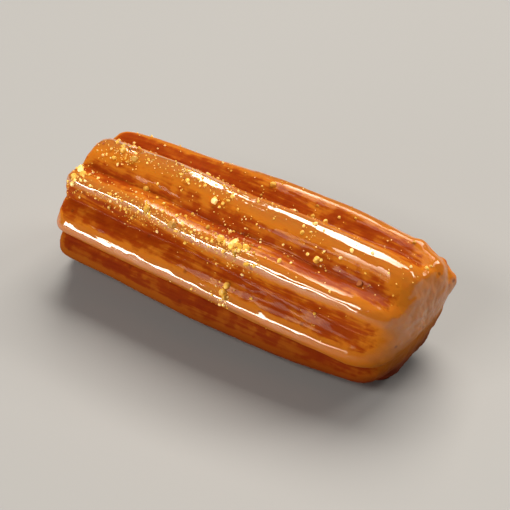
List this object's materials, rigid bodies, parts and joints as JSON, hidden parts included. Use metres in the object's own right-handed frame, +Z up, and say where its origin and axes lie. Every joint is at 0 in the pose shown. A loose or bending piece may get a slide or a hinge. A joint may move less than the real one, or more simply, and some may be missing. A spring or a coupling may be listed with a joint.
{
  "type": "tulumba pastry",
  "caption": "Finger of fried dough with deep lengthwise ridges, soaked in syrup and dusted with crushed pistachio.",
  "frame": {"origin": "on the surface it rests on, under the middle of the whole pastry's box", "axes": "+X along the pastry from its narrower end to its wider end, +Z up, -Y its near side"},
  "size_m": [0.0525, 0.0213, 0.0204],
  "materials": {
    "fried_dough": "glossy amber crust wet with syrup",
    "pistachio": "wet golden-green crumbs"
  },
  "bodies": {
    "root": {"tulumba": "fried_dough"}
  },
  "joints": []
}
